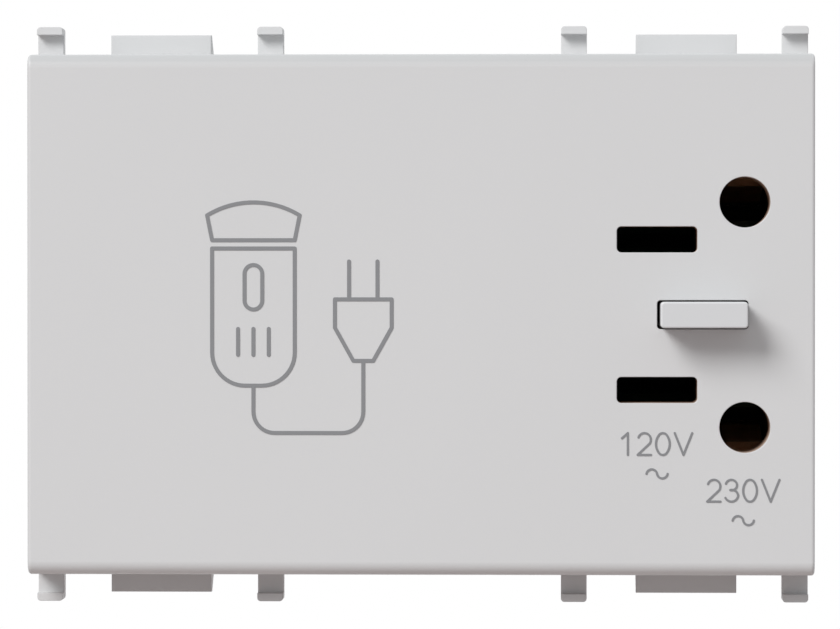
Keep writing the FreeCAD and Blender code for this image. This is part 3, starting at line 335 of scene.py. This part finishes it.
def contact_bronze():
    """Spring bronze, with dark greenish painted shade on all but the outer leaves behind the round
    openings.
    """
    made = metal("contact_bronze", (0.95, 0.5, 0.3), 0.55, (12.0, 0.6, 12.0))
    low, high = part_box("round_contact_upper")
    middle = (low.z + high.z) / 2 / MM
    height = made.math("ABSOLUTE", made.axis("Z"))
    outer = made.ramp(height, 0.0, 1.0, middle - 0.1, middle + 0.4)
    # Painted shade: the inner leaves are made nearly black and greenish, and the outer leaves keep
    # their bronze
    made.colour(made.mix(outer, (0.05, 0.08, 0.065), made.painted))
    return made


def laminated_steel():
    """Edges of varnished sheets, stacked along Z."""
    made = Finish("core_steel", Metallic=0.7, Roughness=0.5)
    sheet = made.math("DIVIDE", made.axis("Z"), SHEET_MM)
    cell = made.node("ShaderNodeTexWhiteNoise", noise_dimensions="1D")
    made.join(made.math("FLOOR", sheet), cell.inputs["W"])
    within = made.math("ABSOLUTE", made.math("SUBTRACT", made.math("FRACT", sheet), 0.5))
    seam = made.ramp(within, 0.0, 1.0, 0.38, 0.48)
    tone = made.mix(cell.outputs["Value"], (0.12, 0.125, 0.135), (0.2, 0.205, 0.215))
    made.colour(made.mix(seam, tone, (0.02, 0.018, 0.016)))
    made.bump(made.math("SUBTRACT", 1.0, seam), 0.05)
    return made


def enamelled_wire():
    """Turns of enamelled wire, 0.2 mm thick, lying side by side along Y."""
    made = Finish("winding_copper", Metallic=0.9, Roughness=0.28, Coat_Weight=0.6)
    turns = made.node("ShaderNodeTexWave", wave_type="BANDS", bands_direction="Y")
    turns.inputs["Scale"].default_value = 1.6
    turns.inputs["Distortion"].default_value = 0.4
    turns.inputs["Detail"].default_value = 1.0
    made.join(made.place, turns.inputs["Vector"])
    wander = made.noise(0.4, detail=2.0)
    tone = made.mix(wander, (0.5, 0.18, 0.07), (0.68, 0.3, 0.13))
    made.colour(made.mix(turns.outputs["Fac"], (0.2, 0.06, 0.02), tone))
    made.bump(turns.outputs["Fac"], 0.06)
    return made


def polyester_tape():
    """Amber film with the faint edge of each lap."""
    made = Finish("winding_tape", Roughness=0.22, IOR=1.6)
    laps = made.noise(1.2, detail=2.0, place=made.stretched(0.15, 2.2, 0.15))
    made.colour(made.mix(laps, (0.62, 0.4, 0.07), (0.74, 0.52, 0.12)))
    made.bump(laps, 0.03)
    return made


def pressed_board():
    """Pale fibre board."""
    made = Finish("barrier_board", Roughness=0.85)
    fibres = made.noise(3.0, detail=6.0, roughness=0.75, place=made.stretched(1.0, 0.25, 2.0))
    made.colour(made.mix(fibres, (0.4, 0.33, 0.22), (0.6, 0.53, 0.4)))
    made.bump(fibres, 0.02)
    return made


def lead_cover(name, colour):
    """Soft glossy insulation, slightly wavy where it was drawn."""
    made = Finish(name, Roughness=0.35, IOR=1.5)
    wander = made.noise(0.7, detail=3.0)
    made.colour(made.mix(wander, tinted(colour, 0.9), tinted(colour, 1.06)))
    made.bump(wander, 0.02)
    return made


def finishes():
    """Every material by the name of its slot in the record."""
    made = {
        "cover_plastic": cover_plastic(),
        "plunger_plastic": plunger_plastic(),
        "print_ink": print_ink(),
        "housing_plastic": housing_plastic(),
        "black_plastic": black_plastic(),
        "contact_bronze": contact_bronze(),
        "spring_steel": metal("spring_steel", (0.5, 0.5, 0.5), 0.28, (6.0, 6.0, 6.0)),
        "screw_steel": metal("screw_steel", (0.62, 0.63, 0.64), 0.3, (4.0, 20.0, 4.0)),
        "terminal_brass": metal("terminal_brass", (0.72, 0.52, 0.24), 0.3, (0.5, 10.0, 10.0)),
        "core_steel": laminated_steel(),
        "bobbin_plastic": moulded("bobbin_plastic", (0.035, 0.035, 0.037), 0.4, variation=0.1),
        "winding_copper": enamelled_wire(),
        "winding_tape": polyester_tape(),
        "barrier_board": pressed_board(),
        "lead_white": lead_cover("lead_white", (0.7, 0.7, 0.67)),
        "lead_red": lead_cover("lead_red", (0.42, 0.02, 0.015)),
        "lead_brown": lead_cover("lead_brown", (0.12, 0.045, 0.02)),
        "lead_blue": lead_cover("lead_blue", (0.03, 0.09, 0.32)),
    }
    return {slot: finish.material for slot, finish in made.items()}


def dress(materials):
    """Give each carried node the finish of its slot."""
    slots = {part["node"]: part["material_slot"] for part in frame["record"]["subparts"]}
    for name, node in frame["nodes"].items():
        node.data.materials.clear()
        node.data.materials.append(materials[slots[name]])


def spring(materials):
    """Wire coil between the plunger's flange and its shelf, fixed to the base in place of the spring
    part.
    """
    low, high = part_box("plunger_spring")
    centre = (low + high) / 2
    radius = (high.x - low.x) / 2 - WIRE / 2
    start = low.y + WIRE / 2
    length = high.y - low.y - WIRE
    curve = bpy.data.curves.new("return_spring", "CURVE")
    curve.dimensions = "3D"
    curve.bevel_depth = WIRE / 2
    curve.bevel_resolution = 4
    path = curve.splines.new("POLY")
    count = TURNS * STEPS_A_TURN + 1
    path.points.add(count - 1)
    for number in range(count):
        turn = 2 * math.pi * number / STEPS_A_TURN
        path.points[number].co = (
            centre.x + radius * math.cos(turn),
            start + length * number / (count - 1),
            centre.z + radius * math.sin(turn),
            1,
        )
    shape = bpy.data.objects.new("return_spring_path", curve)
    mesh = bpy.data.meshes.new_from_object(shape)
    bpy.data.objects.remove(shape)
    mesh.materials.append(materials["spring_steel"])
    mesh.shade_smooth()
    coil = bpy.data.objects.new("return_spring", mesh)
    bpy.context.scene.collection.objects.link(coil)
    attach(coil, "base")
    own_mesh(coil)
    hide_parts("plunger_spring")


def plainly_seen(tree):
    """One for the camera, for reflections and through glass, and nought for light that bounces."""
    path = tree.nodes.new("ShaderNodeLightPath")
    seen = path.outputs["Is Camera Ray"]
    for name in ("Is Glossy Ray", "Is Transmission Ray"):
        either = tree.nodes.new("ShaderNodeMath")
        either.operation = "MAXIMUM"
        tree.links.new(seen, either.inputs[0])
        tree.links.new(path.outputs[name], either.inputs[1])
        seen = either.outputs["Value"]
    return seen


def floor():
    """Pale floor well below the socket, out of the photograph's frame."""
    mesh = bpy.data.meshes.new("floor")
    shape = bmesh.new()
    bmesh.ops.create_circle(shape, cap_ends=True, segments=FLOOR_SIDES, radius=FLOOR_RADIUS)
    shape.to_mesh(mesh)
    shape.free()
    made = Finish("pale_floor", Roughness=0.9, Specular_IOR_Level=0.1)
    mottle = made.noise(0.02, detail=3.0)
    pale = made.mix(mottle, (0.9, 0.9, 0.9), (0.94, 0.94, 0.94))
    made.colour(made.mix(plainly_seen(made.tree), FLOOR_BOUNCE, pale))
    mesh.materials.append(made.material)
    ground = bpy.data.objects.new("floor", mesh)
    ground.location = (0, 0, CAD_BOX[0].z - FLOOR_DROP)
    bpy.context.scene.collection.objects.link(ground)


def surround():
    """Light from all round, which the camera and reflections see as plain white."""
    world = bpy.data.worlds.new("studio")
    bpy.context.scene.world = world
    world.use_nodes = True
    tree = world.node_tree
    direction = tree.nodes.new("ShaderNodeTexCoord").outputs["Generated"]
    parts = tree.nodes.new("ShaderNodeSeparateXYZ")
    tree.links.new(direction, parts.inputs["Vector"])
    height = tree.nodes.new("ShaderNodeMapRange")
    height.inputs["From Min"].default_value = -1.0
    tree.links.new(parts.outputs["Z"], height.inputs["Value"])
    low = tinted(COLOUR_BELOW, LIGHT_BELOW)
    high = tinted(COLOUR_ABOVE, LIGHT_ABOVE)
    graded = blend(tree, height.outputs["Result"], low, high)
    colour = blend(tree, plainly_seen(tree), graded, (1.0, 1.0, 1.0))
    tree.links.new(colour, tree.nodes["Background"].inputs["Color"])


def lamp():
    """Square soft lamp that throws the plunger's shadow down to the right."""
    light = bpy.data.lights.new("key", "AREA")
    light.shape = "SQUARE"
    light.size = LAMP_SIZE
    light.energy = LAMP_POWER
    key = bpy.data.objects.new("key", light)
    back = LAMP_DIRECTION.normalized()
    key.location = Vector((0, FACE, 0)) + back * LAMP_DISTANCE
    key.rotation_mode = "QUATERNION"
    key.rotation_quaternion = (-back).to_track_quat("-Z", "Y")
    bpy.context.scene.collection.objects.link(key)


def camera():
    """Camera at the photograph's distance, aimed at the middle of the face."""
    view = bpy.data.cameras.new("camera")
    view.sensor_width = SENSOR_WIDTH
    place = Vector((CAMERA_SIDE, FACE - CAMERA_DISTANCE, CAMERA_RISE))
    towards = AIM - place
    view.lens = SENSOR_WIDTH * towards.length * PIXELS_PER_METRE / IMAGE_WIDTH
    view.clip_start = 10 * MM
    view.clip_end = 10
    eye = bpy.data.objects.new("camera", view)
    eye.location = place
    eye.rotation_mode = "QUATERNION"
    eye.rotation_quaternion = towards.to_track_quat("-Z", "Y")
    bpy.context.scene.collection.objects.link(eye)
    bpy.context.scene.camera = eye


bpy.context.scene.view_settings.view_transform = "Standard"
camera()
lamp()
surround()
floor()
materials = finishes()
dress(materials)
spring(materials)
